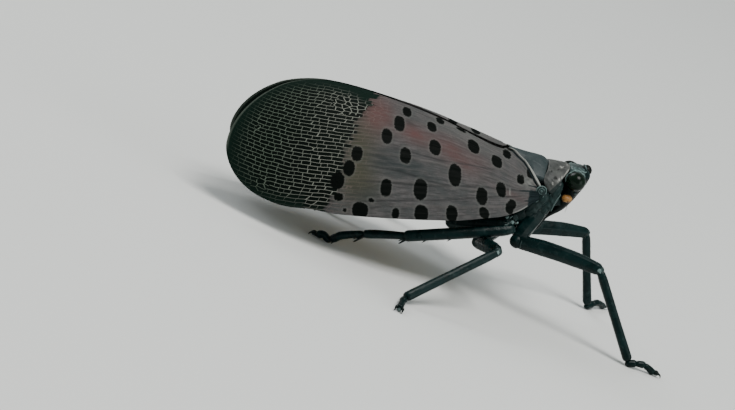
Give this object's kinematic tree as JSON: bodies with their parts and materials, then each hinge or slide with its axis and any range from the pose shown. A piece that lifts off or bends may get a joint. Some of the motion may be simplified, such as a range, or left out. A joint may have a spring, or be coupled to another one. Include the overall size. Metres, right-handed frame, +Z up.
{
  "type": "spotted lanternfly",
  "caption": "Life-size still model of an adult spotted lanternfly at rest on its feet, wings folded like a roof",
  "frame": {"origin": "middle of the box around the whole insect, at the floor its feet stand on", "axes": "+X towards the insect's head, +Y to its left, +Z up"},
  "size_m": [0.0328, 0.0254, 0.0107],
  "materials": {
    "dark_cuticle": "glossy blue-black cuticle of the head, thorax and legs",
    "wing_skin": "thin greyish brown wing skin with black spots and a black netted tip",
    "hindwing_skin": "thin red wing skin with black spots, a white band and a black tip",
    "grey_plate": "grey-brown satin plate",
    "blue_plate": "slate-blue satin plate",
    "eye_gloss": "nearly black glossy compound eye",
    "orange_bulb": "orange grained antenna bulb",
    "yellow_belly": "yellow abdomen with black bands and a whitish bloom"
  },
  "bodies": {
    "root": {"abdomen": "yellow_belly", "antenna_left": "orange_bulb", "antenna_right": "orange_bulb", "eye_left": "eye_gloss", "eye_right": "eye_gloss", "forewing_left": "wing_skin", "forewing_right": "wing_skin", "head": "dark_cuticle", "hindwing_left": "hindwing_skin", "hindwing_right": "hindwing_skin", "leg_front_left_coxa": "dark_cuticle", "leg_front_left_femur": "dark_cuticle", "leg_front_left_tarsus": "dark_cuticle", "leg_front_left_tibia": "dark_cuticle", "leg_front_right_coxa": "dark_cuticle", "leg_front_right_femur": "dark_cuticle", "leg_front_right_tarsus": "dark_cuticle", "leg_front_right_tibia": "dark_cuticle", "leg_hind_left_coxa": "dark_cuticle", "leg_hind_left_femur": "dark_cuticle", "leg_hind_left_tarsus": "dark_cuticle", "leg_hind_left_tibia": "dark_cuticle", "leg_hind_right_coxa": "dark_cuticle", "leg_hind_right_femur": "dark_cuticle", "leg_hind_right_tarsus": "dark_cuticle", "leg_hind_right_tibia": "dark_cuticle", "leg_middle_left_coxa": "dark_cuticle", "leg_middle_left_femur": "dark_cuticle", "leg_middle_left_tarsus": "dark_cuticle", "leg_middle_left_tibia": "dark_cuticle", "leg_middle_right_coxa": "dark_cuticle", "leg_middle_right_femur": "dark_cuticle", "leg_middle_right_tarsus": "dark_cuticle", "leg_middle_right_tibia": "dark_cuticle", "mesonotum": "blue_plate", "pronotum": "grey_plate", "rostrum": "dark_cuticle", "tegula_left": "dark_cuticle", "tegula_right": "dark_cuticle", "thorax": "dark_cuticle"}
  },
  "joints": []
}
